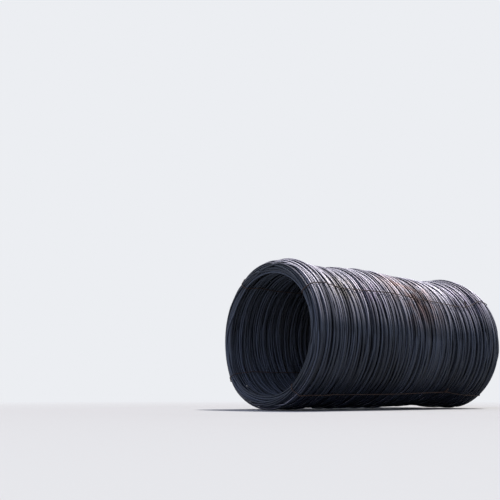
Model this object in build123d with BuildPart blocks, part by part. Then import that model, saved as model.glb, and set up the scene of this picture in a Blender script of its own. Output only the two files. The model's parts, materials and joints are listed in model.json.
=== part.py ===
from build123d import *
from math import cos, radians, sin, sqrt
import os

# Coil of hot-rolled wire rod, lying on its side, with four tie wires round its wall.
#
# One rod is wound into several hundred loose turns round an open eye, then pressed along its axis
# and tied. The coil is one turned solid: its two rims stand out where the end turns are loose, its
# body swells between them, and each end face is crowned, with a ridge for each turn that shows.
#
# The axis of the coil runs along +Y, with the mouth at -Y. The rims rest on the floor at z = 0.

# The rod and the coil that is wound from it, in millimetres
rod_diameter = 16
eye_radius = 510
coil_length = 2380

# Outside of the coil, as radii and as distances from the mouth or, for the tail half, from the tail
rim_edge_radius = 624
rim_edge_distance = 50
rim_radius = 640
rim_distance = 215
neck_radius = 614
neck_distance = 430
body_radius = 634
body_distance = 960
waist_radius = 600
waist_distance = 540

# Crowned end faces, whose ridges are the end turns
shoulder_radius = 594
end_crown = 26
turn_relief = 6

# Tie wires, each bedded in a channel along the eye
tie_count = 4
tie_angle = 36
tie_diameter = 7
seat_gap = 0.3

# Sizes that follow from those above
half_length = coil_length / 2
tie_radius = tie_diameter / 2
standoff = tie_radius + seat_gap
end_turns = max(2, round((shoulder_radius - eye_radius) / rod_diameter))
turn_pitch = (shoulder_radius - eye_radius) / end_turns


def end_reach(radius):
    """Distance of the crowned end face from the middle of the coil, at this radius."""
    half_wall = (shoulder_radius - eye_radius) / 2
    off_crest = (radius - eye_radius - half_wall) / half_wall
    return half_length - end_crown * off_crest**2


def end_profile():
    """Points (radius, reach) down an end face from shoulder to eye: valleys, with crests between."""
    points = [(shoulder_radius, end_reach(shoulder_radius))]
    for turn in range(end_turns):
        crest = shoulder_radius - (turn + 0.5) * turn_pitch
        valley = crest - turn_pitch / 2
        relief = turn_relief if turn < end_turns - 1 else 0
        points.append((crest, end_reach(crest)))
        points.append((valley, end_reach(valley) - relief))
    return points


# Half section of the wall: X is the radius and Y runs along the coil, from its mouth at -Y
mouth_face = [(radius, -reach) for radius, reach in end_profile()]
tail_face = end_profile()
outside = [
    (rim_edge_radius, rim_edge_distance - half_length),
    (rim_radius, rim_distance - half_length),
    (neck_radius, neck_distance - half_length),
    (body_radius, body_distance - half_length),
    (waist_radius, half_length - waist_distance),
    (rim_radius, half_length - rim_distance),
    (rim_edge_radius, half_length - rim_edge_distance),
]

# The widest turns touch the floor, so their radius is the height of the axis
widest_radius = max(radius for radius, place in outside)
axis_height = widest_radius

# Wound rod: the section is turned about the axis, then a channel is bedded in for each tie wire
channel_width = tie_diameter + 2 * seat_gap
channel_depth = tie_diameter + seat_gap
end_run = half_length + standoff

with BuildPart() as rod_coil:
    with BuildSketch(Plane.XY.offset(axis_height)):
        with BuildLine():
            Polyline(*reversed(mouth_face), *outside, *tail_face, close=True)
        make_face()
    revolve(axis=Axis((0, 0, axis_height), (0, 1, 0)))
    with BuildSketch(Plane((0, 0, axis_height), x_dir=(1, 0, 0), z_dir=(0, -1, 0))):
        with PolarLocations(eye_radius, tie_count, start_angle=tie_angle):
            Rectangle(2 * channel_depth, channel_width)
    extrude(amount=end_run, both=True, mode=Mode.SUBTRACT)

rod_coil.part.label = "rod_coil"

# Route of a tie wire round the wall, square with its corners cut so that it clears every turn
outer_run = widest_radius + standoff
eye_run = eye_radius + tie_radius
outer_reach = max(radius + abs(place) for radius, place in outside + end_profile())
eye_reach = max(reach - radius for radius, reach in end_profile())
outer_cut = outer_run + end_run - outer_reach - sqrt(2) * standoff
eye_cut = end_run - eye_run - eye_reach - sqrt(2) * standoff
tie_route = [
    (outer_run, 0),
    (outer_run, end_run - outer_cut),
    (outer_run - outer_cut, end_run),
    (eye_run + eye_cut, end_run),
    (eye_run, end_run - eye_cut),
    (eye_run, eye_cut - end_run),
    (eye_run + eye_cut, -end_run),
    (outer_run - outer_cut, -end_run),
    (outer_run, outer_cut - end_run),
]


def tie_wire(angle):
    """One ring of wire, in the plane that holds the axis and leans at this angle above +X."""
    outward = (cos(radians(angle)), 0, sin(radians(angle)))
    across = (-sin(radians(angle)), 0, cos(radians(angle)))
    with BuildPart() as ring:
        with BuildLine(Plane((0, 0, axis_height), x_dir=outward, z_dir=across)) as route:
            Polyline(*tie_route, close=True)
        with BuildSketch(Plane(route.line @ 0, z_dir=route.line % 0)):
            Circle(tie_radius)
        sweep(transition=Transition.RIGHT)
    return ring.part


os.makedirs("parts", exist_ok=True)
export_step(rod_coil.part, "parts/rod_coil.step")
for number in range(tie_count):
    tie = tie_wire(tie_angle + number * 360 / tie_count)
    tie.label = f"tie_wire_{number + 1}"
    export_step(tie, f"parts/{tie.label}.step")
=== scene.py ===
# %% [markdown]
# A coil of wire rod, as a rolling mill sends it out. One hot-rolled steel rod, 16 mm thick and
# about a kilometre and a half long, was dropped in loose loops round an open eye, pressed along
# its axis and tied with four wires. It lies on its side, as in the yard.
# The coil's outside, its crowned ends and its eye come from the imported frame. This script winds
# the rod inside that shape, ties it, and gives the steel the skin that it has after the mill.

# %% Load the frame
import json
import math

import bpy
import numpy as np
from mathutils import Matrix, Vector


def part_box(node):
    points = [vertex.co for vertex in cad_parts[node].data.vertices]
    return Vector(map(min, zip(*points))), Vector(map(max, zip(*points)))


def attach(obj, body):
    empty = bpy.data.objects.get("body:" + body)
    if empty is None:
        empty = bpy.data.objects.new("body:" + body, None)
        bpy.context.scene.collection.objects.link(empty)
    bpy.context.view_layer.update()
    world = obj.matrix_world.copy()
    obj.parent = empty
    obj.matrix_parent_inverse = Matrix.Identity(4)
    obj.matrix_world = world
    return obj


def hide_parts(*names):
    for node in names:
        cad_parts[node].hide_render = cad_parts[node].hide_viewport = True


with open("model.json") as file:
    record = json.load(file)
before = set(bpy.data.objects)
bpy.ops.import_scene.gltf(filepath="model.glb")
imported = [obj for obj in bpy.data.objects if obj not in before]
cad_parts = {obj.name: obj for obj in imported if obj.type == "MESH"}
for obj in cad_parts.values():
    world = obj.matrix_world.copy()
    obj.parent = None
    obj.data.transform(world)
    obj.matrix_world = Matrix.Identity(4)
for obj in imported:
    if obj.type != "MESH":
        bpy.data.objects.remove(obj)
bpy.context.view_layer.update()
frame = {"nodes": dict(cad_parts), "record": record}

MM = 0.001

# %% [markdown]
# Everything below is placed from a few sizes that the frame already holds. The height of the axis,
# the eye and the coil's length are read straight from it. The outline is read from the turned
# solid: its girth at each place along the coil, and how far its crowned ends reach at each radius.
# The mouth, which the camera looks into, is at -Y and the tail at +Y.

# %% Sizes of the coil
coil_low, coil_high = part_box("rod_coil")
axis_height = (coil_low.z + coil_high.z) / 2
half_length = coil_high.y
eye = next(mount for mount in frame["record"]["mounts"] if mount["name"] == "eye")
eye_radius = eye["dims"]["r_mm"] * MM
straight_half = eye["dims"]["length_mm"] / 2 * MM


def points_of(mesh):
    """The vertices of a mesh as an array, one row each."""
    flat = np.empty(len(mesh.vertices) * 3)
    mesh.vertices.foreach_get("co", flat)
    return flat.reshape(-1, 3)


END_ZONE = 250 * MM
solid_x, solid_place, solid_z = points_of(frame["nodes"]["rod_coil"].data).T
solid_radius = np.hypot(solid_x, solid_z - axis_height)
shoulder_radius = solid_radius[np.abs(solid_place) > straight_half - MM].max()
outer = solid_radius > shoulder_radius - MM
girth_places, first = np.unique(np.round(solid_place[outer], 4), return_index=True)
girth_radii = solid_radius[outer][first]
widest_radius = float(girth_radii.max())
at_tail = solid_place > half_length - END_ZONE
reach_radii, first = np.unique(np.round(solid_radius[at_tail], 4), return_index=True)
reach_places = solid_place[at_tail][first]


def girth(place):
    """Outside radius of the coil at this place along it."""
    return np.interp(place, girth_places, girth_radii)


def end_reach(radius):
    """How far the crowned end faces reach from the middle of the coil, at this radius."""
    return np.interp(radius, reach_radii, reach_places)


print(f"axis {axis_height:.3f} m up, eye {eye_radius:.3f} m, shoulder {shoulder_radius:.3f} m")
print(f"girth {girth(0):.3f} m in the middle, {widest_radius:.3f} m at the rims")

# %% [markdown]
# Each material and each modifier below is a node tree. One small function adds a node, sets its
# options, and either links or fills in its inputs, which keeps the trees short enough to read.
# Colours are written as sRGB hex, the way a colour picker shows them, and made linear here.

# %% Helpers for node trees and colours
def add(tree, kind, inputs=None, **settings):
    """Adds a node to a tree, with its settings, and its inputs linked or filled in."""
    node = tree.nodes.new(kind)
    for name, value in settings.items():
        setattr(node, name, value)
    for key, value in (inputs or {}).items():
        if isinstance(value, bpy.types.NodeSocket):
            tree.links.new(value, node.inputs[key])
        else:
            node.inputs[key].default_value = value
    return node


def linear(hex_colour):
    """An sRGB hex colour as linear red, green, blue and alpha."""
    parts = [int(hex_colour[i:i + 2], 16) / 255 for i in (1, 3, 5)]
    return [c / 12.92 if c < 0.04045 else ((c + 0.055) / 1.055) ** 2.4 for c in parts] + [1.0]


# %% [markdown]
# The camera stands low in front of the mouth's right-hand side, where the photograph was taken:
# a hand's breadth above the floor, 53.9 degrees round from the coil's axis and tilted up by 11.3
# degrees. Its lens is worked out from the focal length in pixels of the 500 pixel picture. These
# were found by trial, until the coil's outline lay close to the photograph's.

# %% Camera
FRAME_PIXELS = 500
FOCAL_PIXELS = 728
SENSOR_MM = 36
CAMERA_PLACE = (4.821, -4.840, 0.122)
TILTED_UP = 11.3
ROUND_FROM_AXIS = 53.9
camera_data = bpy.data.cameras.new("photo_camera")
camera_data.sensor_width = SENSOR_MM
camera_data.lens = FOCAL_PIXELS / FRAME_PIXELS * SENSOR_MM
camera = bpy.data.objects.new("photo_camera", camera_data)
camera.location = CAMERA_PLACE
camera.rotation_euler = (math.radians(90 + TILTED_UP), 0, math.radians(ROUND_FROM_AXIS))
bpy.context.scene.collection.objects.link(camera)
bpy.context.scene.camera = camera
print("lens", round(camera_data.lens, 1), "mm")

# %% [markdown]
# Winding. A laying head drops the hot rod as loops whose middle wanders round the coil's axis, so
# each loop touches the outside on one side and the eye on the other. An even helix would look like
# a screw thread, which no such coil does. So the loops are first laid by that loose rule. Most lie
# nearly square to the axis, and a few stray ones lean across their neighbours.
# The rod is kept as one long row of points, eighty to a turn. Two such rows describe it: how far
# each point is from the axis, and its place along the coil. Both wander smoothly. Each call of
# wander below says over how many turns, and with which seed, so that every run winds the same coil.

# %% Winding rule
ROD_DIAMETER = 16 * MM
rod_radius = ROD_DIAMETER / 2
TURNS = 420
SLICES = 80
TILT = 8 * MM
STRAY_TILT = 55 * MM
WAVE = 4 * MM
# A turn strays where its wandering line passes this, over what is left of the line's range
STRAY_ABOVE = 0.55
STRAY_RANGE = 0.45
# How much the tilt changes, and how far round, in radians, the place where it leans drifts
TILT_CHANGE = 0.6
TILT_DRIFT = 3
# How far round, in radians, each loop falls from the one before, and how that drifts
LOOP_TURN = 2.2
QUICK_DRIFT = 1.4
SLOW_DRIFT = 2.5
# How much of the wall's depth a loop crosses, and how much that changes
LOOP_SWING = 0.9
SWING_CHANGE = 0.15
turn = np.arange(TURNS * SLICES) / SLICES
angle = 2 * math.pi * turn


def wander(period, seed):
    """A smooth random line, mostly between -1 and 1, that changes over this many turns."""
    source = np.random.default_rng(seed)
    knots = source.uniform(-1, 1, int(TURNS / period) + 3)
    step = turn / period
    base = step.astype(int)
    blend = step - base
    blend = blend * blend * (3 - 2 * blend)
    return knots[base] * (1 - blend) + knots[base + 1] * blend


stray = np.clip(wander(1.6, 31) - STRAY_ABOVE, 0, 1) / STRAY_RANGE
tilt = TILT * (1 + TILT_CHANGE * wander(6, 3)) + STRAY_TILT * stray
place = np.linspace(-1, 1, turn.size) * (half_length - 2 * rod_radius)
place += WAVE * wander(4, 1) + tilt * np.cos(angle - TILT_DRIFT * wander(5, 2))
toward = LOOP_TURN * turn + QUICK_DRIFT * wander(1.7, 4) + SLOW_DRIFT * wander(6, 14)
middle = (girth(place) + eye_radius) / 2
swing = (girth(place) - eye_radius) / 2 - rod_radius
loop_depth = LOOP_SWING + SWING_CHANGE * wander(2.3, 5)
radius = middle + swing * loop_depth * np.cos(angle - toward)
radius += WAVE * wander(0.6, 6)
stray_share = round(float((stray > 0).mean()), 2)
print("turns", TURNS, "points on the rod", turn.size, "stray share", stray_share)

# %% [markdown]
# The wall holds the turns between the eye and the girth, and between the two crowned ends. Along
# the four tie wires the turns also stay a wire's thickness off the eye, where the wires lie.

# %% Limits of the wall
TIE_ANGLES = [math.radians(36 + 90 * k) for k in range(4)]
TIE_DIAMETER = 7 * MM
TIE_PLAY = 0.8 * MM
tie_radius = TIE_DIAMETER / 2
MOUTH_LEAN = 30 * MM
slice_step = 2 * math.pi / SLICES
slice_angle = slice_step * np.arange(SLICES)
least_radius = np.full(SLICES, eye_radius + rod_radius)
for tie_angle in TIE_ANGLES:
    least_radius[round(tie_angle / slice_step)] += TIE_DIAMETER + TIE_PLAY


def hold_in_wall(radii, places):
    """Keeps each point of each turn between eye and girth, and between the crowned ends."""
    radii = np.minimum(radii, girth(places) - rod_radius)
    radii = np.maximum(radii, least_radius)
    reach = end_reach(radii) - rod_radius
    return radii, np.clip(places, MOUTH_LEAN - reach, reach)


# %% [markdown]
# As laid, the turns cut through each other. They are relaxed in slices through the axis, where
# each turn is one dot. Dots that overlap push each other apart, mostly outwards and inwards. The
# press closes gaps that would let daylight through the wall, and the rod's stiffness smooths each
# turn. A physics engine could do this, but 33,600 points settle here in a few seconds. Some turns
# still run into each other a little, by about 5 mm at most.
# The press looks along one line of sight at a time, given as metres towards the mouth for each
# metre outwards. Three lines of its list are pressed in each round. The list holds 0 and the
# camera's own, near 0.3 and -0.3, twice.

# %% Relax the turns
NEIGHBOURS = 18
ROUNDS = 196
CLEAR = 1.01 * ROD_DIAMETER
# A push is this share of the overlap, less of it along the coil, and at most this share of the
# rod's radius. The smallest gap keeps two dots in one place from dividing by nothing.
PUSH = 0.42
SIDEWAYS = 0.4
LONGEST_PUSH = 0.35
SMALLEST_GAP = 1e-9
# How far each point is pulled to the middle of its neighbours, and how much further at first
STIFFNESS = 0.2
STIFFER_AT_FIRST = 0.5
PRESS_VIEWS = (-1.5, -0.3, 0.5, 0, 1.25, -0.9, 0.3, 1.0, -1.15, 0, -0.3, 0.3, 0.7, -0.72)
PRESSES = 3
# A slit is what turns leave beyond this share of a rod's width, and each press closes some of it
COVER = 0.7
PRESS_SHARE = 0.5


def push_apart(radii, places):
    """Moves overlapping rods apart in every slice, and returns the deepest overlap it met."""
    move_r, move_p = np.zeros_like(radii), np.zeros_like(places)
    worst = 0
    for step in range(1, NEIGHBOURS + 1):
        dr = radii[step:] - radii[:-step]
        dp = places[step:] - places[:-step]
        gap = np.hypot(dr, dp) + SMALLEST_GAP
        lap = np.clip(CLEAR - gap, 0, None)
        worst = max(worst, float(lap.max()))
        push = lap / gap * PUSH
        move_r[step:] += dr * push
        move_r[:-step] -= dr * push
        move_p[step:] += dp * push * SIDEWAYS
        move_p[:-step] -= dp * push * SIDEWAYS
    limit = LONGEST_PUSH * rod_radius
    move_r, move_p = np.clip(move_r, -limit, limit), np.clip(move_p, -limit, limit)
    return radii + move_r, places + move_p, worst


def close_slits(radii, places, view):
    """Draws turns together wherever light would pass through the wall along this line of sight."""
    line = places + view * radii
    order = np.argsort(line, axis=0)
    spacing = np.diff(np.take_along_axis(line, order, axis=0), axis=0)
    covered = COVER * ROD_DIAMETER * math.hypot(1, view)
    slit = np.clip(spacing - covered, 0, None) * PRESS_SHARE
    move = np.zeros_like(line)
    move[:-1] += slit
    move[1:] -= slit
    moved = np.zeros_like(line)
    np.put_along_axis(moved, order, move, axis=0)
    return places + moved


def stiffen(values, share):
    """Pulls each point of the rod part of the way to the middle of its two neighbours."""
    line = values.ravel()
    between = line.copy()
    between[1:-1] = (line[:-2] + line[2:]) / 2
    return (line + share * (between - line)).reshape(values.shape)


radii, places = hold_in_wall(radius.reshape(TURNS, SLICES), place.reshape(TURNS, SLICES))
for relax_round in range(ROUNDS):
    radii, places, deepest = push_apart(radii, places)
    for press in range(relax_round * PRESSES, (relax_round + 1) * PRESSES):
        places = close_slits(radii, places, PRESS_VIEWS[press % len(PRESS_VIEWS)])
    share = STIFFER_AT_FIRST * (1 - relax_round / ROUNDS) + STIFFNESS
    radii, places = stiffen(radii, share), stiffen(places, share)
    radii, places = hold_in_wall(radii, places)
print("deepest overlap met in the last round", round(deepest / MM, 2), "mm")

# %% [markdown]
# A coil that lies on its side sags. Its slack turns hang until they rest on the floor, and the
# first turns of the mouth lean out and spread to one side. These are small, smooth moves of the
# whole wall, so one function makes them after the turns are relaxed, for the rod and the ties.

# %% Sag and lean
MOST_SAG = 18 * MM
# Share of the sag in the middle of the coil, and how much more there is at its ends
SAG_MIDDLE = 0.45
SAG_TOWARD_ENDS = 0.55
LEAN_TOWARD = math.radians(215)
LEAN_FADE = 0.35
BULGE = 42 * MM
BULGE_TOWARD = math.radians(222)
BULGE_WIDTH = math.radians(25)


def settle(radii, places, angles):
    """Points of the coil in the scene's own axes, after the slack turns have sagged."""
    slack = np.clip(widest_radius - girth(places) - MM, 0, MOST_SAG)
    slack *= SAG_MIDDLE + SAG_TOWARD_ENDS * (np.abs(places) / half_length)**2
    near_mouth = np.clip((LEAN_FADE - half_length - places) / LEAN_FADE, 0, 1)
    leftward = (1 - np.cos(angles)) / 2
    spread = np.clip(widest_radius - girth(places), 0, None) * near_mouth * leftward
    off_bulge = (np.mod(angles, 2 * math.pi) - BULGE_TOWARD) / BULGE_WIDTH
    radii = radii + BULGE * near_mouth * np.exp(-off_bulge**2)
    x = radii * np.cos(angles) - spread
    z = axis_height + radii * np.sin(angles) - slack
    y = places - MOUTH_LEAN * near_mouth * np.cos(angles - LEAN_TOWARD)
    return np.stack([x, y, z], axis=-1)


path = settle(radii, places, slice_angle).reshape(-1, 3)
print("lowest rod centre", round(float(path[:, 2].min() / MM), 1), "mm above the floor")

# %% [markdown]
# The tube itself is swept by Geometry Nodes. The tree takes a bare line of points, turns it into a
# curve, and sweeps a small circle along it. The same tree makes the rod and the tie wires, with
# other sizes on its inputs. Nothing in it is random, and it ends in Realize Instances and Set
# Material, so that the result can be kept as a plain mesh.

# %% Sweep tree
def sweep_tree():
    """A tree that sweeps a round wire along a line of points."""
    tree = bpy.data.node_groups.new("round_wire", "GeometryNodeTree")
    face = tree.interface
    face.new_socket("Line", in_out="INPUT", socket_type="NodeSocketGeometry")
    face.new_socket("Wire Radius", in_out="INPUT", socket_type="NodeSocketFloat")
    face.new_socket("Sides", in_out="INPUT", socket_type="NodeSocketInt")
    face.new_socket("Finish", in_out="INPUT", socket_type="NodeSocketMaterial")
    face.new_socket("Wire", in_out="OUTPUT", socket_type="NodeSocketGeometry")
    given = add(tree, "NodeGroupInput")
    curve = add(tree, "GeometryNodeMeshToCurve", {"Mesh": given.outputs["Line"]})
    ring = add(tree, "GeometryNodeCurvePrimitiveCircle",
               {"Resolution": given.outputs["Sides"], "Radius": given.outputs["Wire Radius"]})
    tube = add(tree, "GeometryNodeCurveToMesh",
               {"Curve": curve.outputs[0], "Profile Curve": ring.outputs[0], "Fill Caps": True})
    smooth = add(tree, "GeometryNodeSetShadeSmooth", {"Geometry": tube.outputs[0]})
    real = add(tree, "GeometryNodeRealizeInstances", {"Geometry": smooth.outputs[0]})
    painted = add(tree, "GeometryNodeSetMaterial",
                  {"Geometry": real.outputs[0], "Material": given.outputs["Finish"]})
    add(tree, "NodeGroupOutput", {"Wire": painted.outputs[0]})
    return tree


ROUND_WIRE = sweep_tree()


def sweep_wire(name, points, wire_radius, sides, finish, marks=None):
    """A plain mesh of round wire along these points, with named values kept on its points."""
    line = bpy.data.meshes.new(name)
    edges = [(i, i + 1) for i in range(len(points) - 1)]
    line.from_pydata([tuple(p) for p in points], edges, [])
    for mark, values in (marks or {}).items():
        line.attributes.new(mark, "FLOAT", "POINT").data.foreach_set("value", values)
    core = bpy.data.objects.new(name, line)
    bpy.context.scene.collection.objects.link(core)
    modifier = core.modifiers.new("round_wire", "NODES")
    modifier.node_group = ROUND_WIRE
    inputs = {s.name: s.identifier for s in ROUND_WIRE.interface.items_tree if s.in_out == "INPUT"}
    modifier[inputs["Wire Radius"]] = float(wire_radius)
    modifier[inputs["Sides"]] = int(sides)
    modifier[inputs["Finish"]] = finish
    depsgraph = bpy.context.evaluated_depsgraph_get()
    mesh = bpy.data.meshes.new_from_object(core.evaluated_get(depsgraph))
    mesh.name = name
    bpy.data.objects.remove(core)
    bpy.data.meshes.remove(line)
    piece = bpy.data.objects.new(name, mesh)
    bpy.context.scene.collection.objects.link(piece)
    return piece


# %% [markdown]
# Each wire also gets a UV map, so that its finish can be baked to a picture later. The skin of the
# tube is cut into strips, one for each turn of the rod, which are stacked like lines of text. The
# sweep writes its points ring by ring, so a point's number says where it belongs. A strip leaves a
# margin above and below it, and the two round caps lie in a strip of their own at the top.

# %% UV map of a wire
STRIP_MARGIN = 0.05
STRIP_HEIGHT = 0.9
CAP_AT, CAP_HALF_WIDTH = 0.01, 0.005
CAP_DOWN, CAP_HALF_HEIGHT = 0.5, 0.4


def map_strips(mesh, sides, rings_in_strip):
    """Lays a wire's skin out as a stack of strips, each this many rings long."""
    corner_point = np.empty(len(mesh.loops), int)
    mesh.loops.foreach_get("vertex_index", corner_point)
    face_start = np.empty(len(mesh.polygons), int)
    face_size = np.empty(len(mesh.polygons), int)
    mesh.polygons.foreach_get("loop_start", face_start)
    mesh.polygons.foreach_get("loop_total", face_size)
    face = np.repeat(np.arange(len(face_start)), face_size)
    ring, side = corner_point // sides, corner_point % sides
    first_ring = np.minimum.reduceat(ring, face_start)
    spans_seam = (np.maximum.reduceat(side, face_start) == sides - 1) & (face_size == 4)
    spans_seam &= np.minimum.reduceat(side, face_start) == 0
    side = np.where(spans_seam[face] & (side == 0), sides, side)
    strip = first_ring[face] // rings_in_strip
    strips = len(mesh.vertices) // sides // rings_in_strip + 2
    along = (ring - strip * rings_in_strip) / rings_in_strip
    up = (strip + STRIP_MARGIN + STRIP_HEIGHT * side / sides) / strips
    is_cap = face_size[face] == sides
    turn_of = 2 * math.pi * side / sides
    along = np.where(is_cap, CAP_AT + CAP_HALF_WIDTH * np.cos(turn_of), along)
    up = np.where(is_cap, 1 - (CAP_DOWN + CAP_HALF_HEIGHT * np.sin(turn_of)) / strips, up)
    layer = mesh.uv_layers.new(name="OFBake")
    layer.data.foreach_set("uv", np.stack([along, up], axis=-1).ravel())


# %% [markdown]
# The rod is plain carbon steel, straight off the hot mill. Air turns its skin to mill scale, a
# thin blue-grey oxide, smooth and half matt, that flakes where the rod was bent. Rain draws thin
# rust along it in patches. The colour is mixed in layers: scale; a painted sunlit tone, near
# white, where a turn faces up and lies near the outside, standing for the sun on the top of the
# coil; painted shade, darker, where an outer turn faces the ground; and stains of rust, tint and
# dust where a slow noise says so. Each turn also has a tone of its own, as the eye sees at this
# distance.

# %% Where the painted sunlight, the painted shade and the stains reach
# A stain is whole within this share of its reach, and broken up between these levels of the noise
STAIN_CORE = 0.25
BROKEN_FROM, BROKEN_TO = 0.36, 0.6


def ramp_of(tree, mark, low, high):
    """A value kept on the rod's points, as a share from 0 at low to 1 at high."""
    value = add(tree, "ShaderNodeAttribute", attribute_name=mark)
    ramp = add(tree, "ShaderNodeMapRange",
               {"Value": value.outputs["Fac"], "From Min": low, "From Max": high})
    return ramp.outputs[0]


def both(tree, one, other):
    """The product of two shares."""
    return add(tree, "ShaderNodeMath", {0: one, 1: other}, operation="MULTIPLY").outputs[0]


def stain(tree, spots, blotch_mm):
    """A soft mask, from 0 to 1, of blotches round each (x, y, z, reach) spot, in metres."""
    where = add(tree, "ShaderNodeTexCoord").outputs["Object"]
    blotch = add(tree, "ShaderNodeTexNoise",
                 {"Vector": where, "Scale": 1 / (blotch_mm * MM), "Detail": 1.0})
    total = 0.0
    for x, y, z, spot_reach in spots:
        away = add(tree, "ShaderNodeVectorMath", {0: where, 1: (x, y, z)}, operation="DISTANCE")
        near = add(tree, "ShaderNodeMapRange",
                   {"Value": away.outputs["Value"], "From Min": spot_reach,
                    "From Max": STAIN_CORE * spot_reach})
        total = add(tree, "ShaderNodeMath", {0: near.outputs[0], 1: total}, operation="MAXIMUM")
        total = total.outputs[0]
    broken = add(tree, "ShaderNodeMapRange",
                 {"Value": blotch.outputs["Fac"], "From Min": BROKEN_FROM, "From Max": BROKEN_TO})
    return both(tree, total, broken.outputs[0])


# %% Mill scale
SCALE_TONES = ("#262b33", "#404754")
# Light tones painted on as sunlight, where the top of the coil faces the sun
PAINTED_SUNLIT_TONES = ("#78747e", "#f4effa")
# A grey multiplied in as painted shade, where the outer turns face the ground
PAINTED_SHADE_GREY = "#a4a6ae"
# Where painted sunlight and painted shade begin and are full: how far a point faces up, and its
# depth
PAINTED_SUNLIT_UP, PAINTED_SUNLIT_DEPTH = (0.06, 0.85), (40 * MM, 8 * MM)
PAINTED_SHADE_UP, PAINTED_SHADE_DEPTH = (-0.05, -0.6), (70 * MM, 30 * MM)
STREAK_LENGTH = 0.25
FLAKE_SIZE = 7 * MM
FLAKE_THICKNESS = 0.1 * MM
RUST_SPOTS = ((0.54, 0.12, 0.95, 0.42), (0.42, 0.0, 1.08, 0.3))
TINT_SPOTS = ((0.5, -0.45, 0.98, 0.26), (0.48, 0.85, 1.0, 0.3))
DUST_SPOTS = ((0.52, -0.72, 1.0, 0.24), (-0.3, 0.2, 1.2, 0.5))
# Each stain as its spots, the size of its blotches in millimetres, its strength and its two tones
STAINS = ((RUST_SPOTS, 90, 0.9, "#d8ac98", "#f2d6c8"),
          (TINT_SPOTS, 60, 0.6, "#dcc4e8", "#f2e4fa"),
          (DUST_SPOTS, 60, 0.7, "#e8e0b4", "#fff8dc"))


def two_tones(tree, share, low, high):
    """A colour between these two, as far as the share goes from a quarter to three quarters."""
    tones = add(tree, "ShaderNodeValToRGB", {"Fac": share})
    for element, position, colour in zip(tones.color_ramp.elements, (0.25, 0.75), (low, high)):
        element.position = position
        element.color = linear(colour)
    return tones.outputs["Color"]


def mill_scale():
    """Hot-rolled steel with blue-grey mill scale, painted sunlight on top and painted shade below,
    with rust, tint and dust in patches.
    """
    material = bpy.data.materials.new("hot_rolled_mill_scale")
    material.use_nodes = True
    tree = material.node_tree
    shader = tree.nodes["Principled BSDF"]
    tone = add(tree, "ShaderNodeAttribute", attribute_name="turn_tone")
    run = add(tree, "ShaderNodeAttribute", attribute_name="rod_run")
    # Streaks of a quarter of a metre, drawn along the rod by the rolls and by the water on it
    streak = add(tree, "ShaderNodeTexNoise",
                 {"W": run.outputs["Fac"], "Scale": 1 / STREAK_LENGTH, "Detail": 4.0},
                 noise_dimensions="1D")
    tones = add(tree, "ShaderNodeMath", {0: tone.outputs["Fac"], 1: streak.outputs["Fac"]},
                operation="ADD")
    share = both(tree, tones.outputs[0], 0.5)
    # Painted sunlight: points that face up near the outside take the light tones, and deeper ones
    # keep the scale
    sky = both(tree, ramp_of(tree, "up", *PAINTED_SUNLIT_UP), ramp_of(tree, "depth", *PAINTED_SUNLIT_DEPTH))
    colour = add(tree, "ShaderNodeMix", {0: sky, 6: two_tones(tree, share, *SCALE_TONES),
                                         7: two_tones(tree, share, *PAINTED_SUNLIT_TONES)},
                 data_type="RGBA")
    # Painted shade: points that face down near the outside are darkened by that grey
    painted_shade = both(tree, ramp_of(tree, "up", *PAINTED_SHADE_UP), ramp_of(tree, "depth", *PAINTED_SHADE_DEPTH))
    colour = add(tree, "ShaderNodeMix", {0: painted_shade, 6: colour.outputs[2], 7: linear(PAINTED_SHADE_GREY)},
                 data_type="RGBA", blend_type="MULTIPLY")
    for spots, blotch_mm, strength, low, high in STAINS:
        mask = both(tree, stain(tree, spots, blotch_mm), strength)
        colour = add(tree, "ShaderNodeMix", {0: mask, 6: colour.outputs[2],
                                             7: two_tones(tree, share, low, high)},
                     data_type="RGBA", blend_type="MULTIPLY")
    tree.links.new(colour.outputs[2], shader.inputs["Base Color"])
    # Flakes of scale are 3 to 10 mm across and a tenth of a millimetre thick
    where = add(tree, "ShaderNodeTexCoord").outputs["Object"]
    flakes = add(tree, "ShaderNodeTexNoise",
                 {"Vector": where, "Scale": 1 / FLAKE_SIZE, "Detail": 2.0})
    rough = add(tree, "ShaderNodeBump",
                {"Height": flakes.outputs["Fac"], "Distance": FLAKE_THICKNESS, "Strength": 0.4})
    tree.links.new(rough.outputs[0], shader.inputs["Normal"])
    # The crust is thin and dense, so it is neither bare metal nor stone: a weak metallic sheen,
    # which lights up where the sun grazes the top of the coil
    shader.inputs["Metallic"].default_value = 0.3
    shader.inputs["Roughness"].default_value = 0.5
    shader.inputs["Specular IOR Level"].default_value = 0.25
    return material


# %% [markdown]
# Now the rod is swept along its path. It is cut into four pieces of just over a hundred turns, so
# that each stays light enough to open on its own, and their ends meet inside the wall. Each ring
# keeps the tone of its turn, how far along the rod it is and how deep in the wall, and each point
# keeps how far it faces up, because the finish reads all four.

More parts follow.
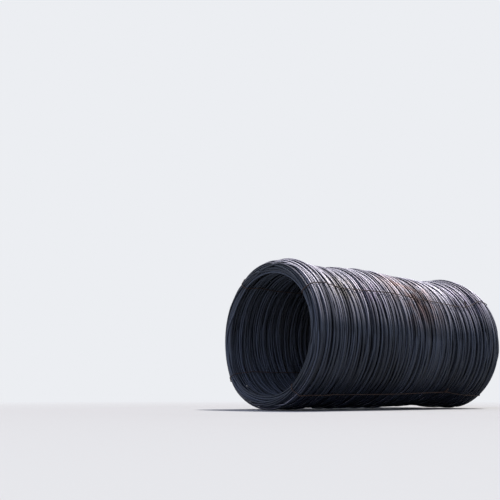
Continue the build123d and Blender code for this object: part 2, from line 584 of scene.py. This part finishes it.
# %% Wind the rod
WIRE_SIDES = 8
ROD_PIECES = 4
TONE_SEED = 12
rod_finish = mill_scale()
turn_tone = np.random.default_rng(TONE_SEED).uniform(0, 1, TURNS)
run = np.concatenate([[0], np.cumsum(np.linalg.norm(np.diff(path, axis=0), axis=1))])
tone = np.repeat(turn_tone, SLICES)
depth = (girth(places) - rod_radius - radii).ravel()
rod_pieces = []
for number in range(ROD_PIECES):
    start = number * TURNS // ROD_PIECES * SLICES
    end = min((number + 1) * TURNS // ROD_PIECES * SLICES + 1, len(path))
    marks = {"turn_tone": tone[start:end], "rod_run": run[start:end], "depth": depth[start:end]}
    piece = sweep_wire(f"rod_turns_{number + 1}", path[start:end], rod_radius, WIRE_SIDES,
                       rod_finish, marks)
    mesh = piece.data
    around = points_of(mesh).reshape(-1, WIRE_SIDES, 3) - path[start:end, None]
    up = (around[..., 2] / rod_radius).ravel()
    mesh.attributes.new("up", "FLOAT", "POINT").data.foreach_set("value", up)
    map_strips(mesh, WIRE_SIDES, SLICES)
    rod_pieces.append(piece)
print("rod", round(run[-1]), "m in", len(rod_pieces), "pieces, off its path",
      round(float(abs(np.linalg.norm(around, axis=-1) - rod_radius).max() / MM), 3), "mm")

# %% [markdown]
# Four tie wires hold the coil. Each goes along the eye, round both ends and back over the outside,
# pulled tight, so it touches only the rods that stand out most. Those are the corners of a convex
# hull, drawn round the dots of the slice that the wire lies in. The outside is drawn straight for
# this first, because the wire is pulled into the coil's waist, and bent back after.
# On the outside each wire strays a little from its slice, towards the place where it was closed.

# %% Rods that a tie touches
TIE_STRAY = [math.radians(d) for d in (-7, 3, -3, 2.5)]
CLOSED_AT = (0.78, -0.45, 0.2, 0.6)
STRAY_FROM, STRAY_TO = -1.0, 1.05
PULLED_IN = 0.85
LARGEST_BEND = math.radians(20)
wall_middle = (eye_radius + shoulder_radius) / 2
rim_place = float(np.abs(girth_places[girth_radii.argmax()]))


def strays(tie, place):
    """How far a tie's outside run is from its own angle, at this place along the coil."""
    return TIE_STRAY[tie] * np.interp(place, [STRAY_FROM, CLOSED_AT[tie], STRAY_TO], [0, 1, 0])


def pull_in(place):
    """How far inside the rims a tie is drawn where the coil narrows between them."""
    return PULLED_IN * np.where(np.abs(place) < rim_place, girth(place) - widest_radius, 0)


def rods_under(tie, outside):
    """Place and radius of each turn where this tie crosses it, outside the coil or in its eye."""
    own_slice = TIE_ANGLES[tie] / slice_step
    bend = strays(tie, places[:, round(own_slice)]) / slice_step if outside else 0
    column = own_slice + bend + np.zeros(TURNS)
    low = np.floor(column).astype(int)
    rows, part = np.arange(TURNS), column - low
    at, out = (grid[rows, low] * (1 - part) + grid[rows, low + 1] * part
               for grid in (places, radii))
    return sorted(zip(at, out - pull_in(at) if outside else out))


def taut_side(points, side):
    """The corners of a taut wire under these points (side 1) or over them (side -1)."""
    chain = []
    for p in points:
        while len(chain) > 1:
            (ax, ay), (bx, by) = chain[-2:]
            if side * ((bx - ax) * (p[1] - ay) - (by - ay) * (p[0] - ax)) > 0:
                break
            chain.pop()
        chain.append(p)
    return chain


def round_corners(corners, off):
    """A loop that passes this far outside its corners, with a round bend at each."""
    loop = []
    befores, afters = corners[-1:] + corners[:-1], corners[1:] + corners[:1]
    for before, corner, after in zip(befores, corners, afters):
        start = math.atan2(before[0] - corner[0], corner[1] - before[1])
        bend = (math.atan2(corner[0] - after[0], after[1] - corner[1]) - start) % (2 * math.pi)
        steps = max(1, math.ceil(bend / LARGEST_BEND))
        for step in range(steps + 1):
            toward = start + bend * step / steps
            loop.append((corner[0] + off * math.cos(toward), corner[1] + off * math.sin(toward)))
    return loop


# %% [markdown]
# A machine closes the wire: it crosses the two ends, twists them round each other and bends the
# twist flat. The twist below has two and a half turns in six centimetres, and its ends are left
# as they were sheared.

# %% Route of a tie
TWIST_LENGTH = 58 * MM
TWIST_TURNS = 2.5
TWIST_LIFT = 6 * MM
# The twist is lifted off the rods over the first third of its length
LIFT_RATE = 3
STEPS_A_TURN = 12
LONGEST_STEP = 20 * MM
TIE_GAP = 0.3 * MM


def tie_route(tie):
    """Points of one tie wire, from one end of its twist round the coil to the other end."""
    off = rod_radius + tie_radius + TIE_GAP
    inside = taut_side(rods_under(tie, False), 1)
    outside = taut_side(rods_under(tie, True), -1)
    loop = round_corners(inside + outside[-2:0:-1], off)
    closed_at = CLOSED_AT[tie]
    start = next(i for i in range(len(loop)) if loop[i][1] > wall_middle
                 and loop[i][0] >= closed_at > loop[(i + 1) % len(loop)][0])
    loop = loop[start + 1:] + loop[:start + 1]
    (ax, ay), (bx, by) = loop[-1], loop[0]
    knot = (closed_at, ay + (by - ay) * (closed_at - ax) / (bx - ax))
    loop = [knot] + loop + [knot]
    dense = []
    for (ax, ay), (bx, by) in zip(loop[:-1], loop[1:]):
        steps = max(1, math.ceil(math.hypot(bx - ax, by - ay) / LONGEST_STEP))
        dense += [(ax + (bx - ax) * k / steps, ay + (by - ay) * k / steps) for k in range(steps)]
    at, out = np.array(dense + [knot]).T
    is_outside = out > wall_middle
    angles = TIE_ANGLES[tie] + np.where(is_outside, strays(tie, at), 0)
    return settle(np.where(is_outside, out + pull_in(at), out), at, angles)


def twisted_end(knot, side):
    """One of the two ends of a tie, from the knot to its sheared tip."""
    outward = Vector((knot[0], 0, knot[2] - axis_height)).normalized()
    along = Vector((0, 1, 0))
    down = outward.cross(along) * (1 if outward.x > 0 else -1)
    points = []
    steps = round(TWIST_TURNS * STEPS_A_TURN)
    for step in range(steps + 1):
        share = step / steps
        twist = 2 * math.pi * TWIST_TURNS * share
        lift = outward * TWIST_LIFT * min(1, LIFT_RATE * share)
        spot = Vector(knot) + lift + down * TWIST_LENGTH * share
        spot += side * tie_radius * (math.cos(twist) * along + math.sin(twist) * outward)
        points.append(tuple(spot))
    return points


# %% [markdown]
# Tie wire is soft, annealed steel wire, 7 mm thick. Annealing leaves a dark brown-black skin with
# no shine, which rusts within days. Against the light rods on top, whose light tone is painted
# sunlight, it reads as a thin dark line.

# %% Tie wires
TIE_SIDES = 10
TIE_RINGS_IN_STRIP = 40
TIE_TONES = ("#241f1f", "#4a382f")
TIE_RUST_SIZE = 40 * MM


def annealed_wire():
    """Black annealed steel wire with a little rust."""
    material = bpy.data.materials.new("annealed_tie_wire")
    material.use_nodes = True
    tree = material.node_tree
    shader = tree.nodes["Principled BSDF"]
    where = add(tree, "ShaderNodeTexCoord").outputs["Object"]
    rust = add(tree, "ShaderNodeTexNoise",
               {"Vector": where, "Scale": 1 / TIE_RUST_SIZE, "Detail": 3.0})
    tone = two_tones(tree, rust.outputs["Fac"], *TIE_TONES)
    tree.links.new(tone, shader.inputs["Base Color"])
    shader.inputs["Roughness"].default_value = 0.65
    shader.inputs["Specular IOR Level"].default_value = 0.3
    return material


tie_finish = annealed_wire()
tie_pieces = []
for tie in range(len(TIE_ANGLES)):
    route = [tuple(p) for p in tie_route(tie)]
    points = twisted_end(route[0], -1)[::-1] + route[1:-1] + twisted_end(route[-1], 1)
    piece = sweep_wire(f"tie_loop_{tie + 1}", points, tie_radius, TIE_SIDES, tie_finish)
    map_strips(piece.data, TIE_SIDES, TIE_RINGS_IN_STRIP)
    tie_pieces.append(piece)
    print(piece.name, len(points), "points,", len(piece.data.polygons), "faces")

# %% [markdown]
# The floor and the world are a plain pale studio, so that nothing competes with the coil. One soft
# sun stands high on the far side, as in the yard, and grazes the top. A wide, cool fill comes low
# from the mouth's side, as light off the open yard does, and keeps the shade readable. The camera,
# and mirror-like reflections, see a pale background that adds no light to matt surfaces.

# %% Floor, world and lights
BACKDROP = "#eceef2"
FLOOR_GREY = "#c1c2c3"
SHADE_TINT = "#d3d9ee"
SHADE_STRENGTH = 0.03
FLOOR_HALF = 40
# The floor passes into the backdrop between these two distances from the coil
FADE_FROM, FADE_TO = 2.5, 9.0
floor_mesh = bpy.data.meshes.new("studio_floor")
floor_corners = [(-FLOOR_HALF, -FLOOR_HALF, 0), (FLOOR_HALF, -FLOOR_HALF, 0),
                 (FLOOR_HALF, FLOOR_HALF, 0), (-FLOOR_HALF, FLOOR_HALF, 0)]
floor_mesh.from_pydata(floor_corners, [], [(0, 1, 2, 3)])
floor_finish = bpy.data.materials.new("studio_floor")
floor_finish.use_nodes = True
floor_tree = floor_finish.node_tree
floor_shader = floor_tree.nodes["Principled BSDF"]
floor_shader.inputs["Base Color"].default_value = linear(FLOOR_GREY)
floor_shader.inputs["Roughness"].default_value = 0.9
floor_where = add(floor_tree, "ShaderNodeTexCoord").outputs["Object"]
floor_away = add(floor_tree, "ShaderNodeVectorMath", {0: floor_where}, operation="LENGTH")
floor_far = add(floor_tree, "ShaderNodeMapRange",
                {"Value": floor_away.outputs["Value"], "From Min": FADE_FROM, "From Max": FADE_TO})
floor_rays = add(floor_tree, "ShaderNodeLightPath")
floor_seen = both(floor_tree, floor_far.outputs[0], floor_rays.outputs["Is Camera Ray"])
floor_backdrop = add(floor_tree, "ShaderNodeEmission",
                     {"Color": linear(BACKDROP), "Strength": 1.0})
floor_mix = add(floor_tree, "ShaderNodeMixShader",
                {0: floor_seen, 1: floor_shader.outputs[0], 2: floor_backdrop.outputs[0]})
floor_out = floor_tree.nodes["Material Output"]
floor_tree.links.new(floor_mix.outputs[0], floor_out.inputs["Surface"])
floor_mesh.materials.append(floor_finish)
floor = bpy.data.objects.new("studio_floor", floor_mesh)
bpy.context.scene.collection.objects.link(floor)

world = bpy.data.worlds.new("studio")
bpy.context.scene.world = world
world.use_nodes = True
sky = world.node_tree
sky.nodes.clear()
light_path = add(sky, "ShaderNodeLightPath")
mirrored = add(sky, "ShaderNodeMath",
               {0: light_path.outputs["Is Glossy Ray"],
                1: light_path.outputs["Is Transmission Ray"]}, operation="MAXIMUM")
seen = add(sky, "ShaderNodeMath", {0: light_path.outputs["Is Camera Ray"], 1: mirrored.outputs[0]},
           operation="MAXIMUM")
fill = add(sky, "ShaderNodeBackground",
           {"Color": linear(SHADE_TINT), "Strength": SHADE_STRENGTH})
shown = add(sky, "ShaderNodeBackground", {"Color": linear(BACKDROP), "Strength": 1.0})
mixed = add(sky, "ShaderNodeMixShader",
            {0: seen.outputs[0], 1: fill.outputs[0], 2: shown.outputs[0]})
add(sky, "ShaderNodeOutputWorld", {"Surface": mixed.outputs[0]})


def sun_light(name, direction, strength, width, hex_colour):
    """An even light from far away, from this direction, this many degrees wide."""
    data = bpy.data.lights.new(name, "SUN")
    data.energy = strength
    data.angle = math.radians(width)
    data.color = linear(hex_colour)[:3]
    light = bpy.data.objects.new(name, data)
    light.rotation_euler = (-Vector(direction)).to_track_quat("-Z", "Y").to_euler()
    bpy.context.scene.collection.objects.link(light)


sun_light("key", direction=(0.12, 0.24, 0.85), strength=3.8, width=5, hex_colour="#fffaf6")
sun_light("front_fill", direction=(0.25, -0.95, 0.2), strength=2.3, width=130,
          hex_colour="#c4cdf0")

# %% Which piece stands for what
for piece in rod_pieces:
    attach(piece, "root")
    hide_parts("rod_coil")
for number, piece in enumerate(tie_pieces):
    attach(piece, "root")
    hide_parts(f"tie_wire_{number + 1}")
faces = {piece.name: sum(len(p.vertices) - 2 for p in piece.data.polygons)
         for piece in rod_pieces + tie_pieces}
print("triangles", faces, "in all", sum(faces.values()))

# %% Finish
bpy.context.scene.view_settings.view_transform = "Standard"
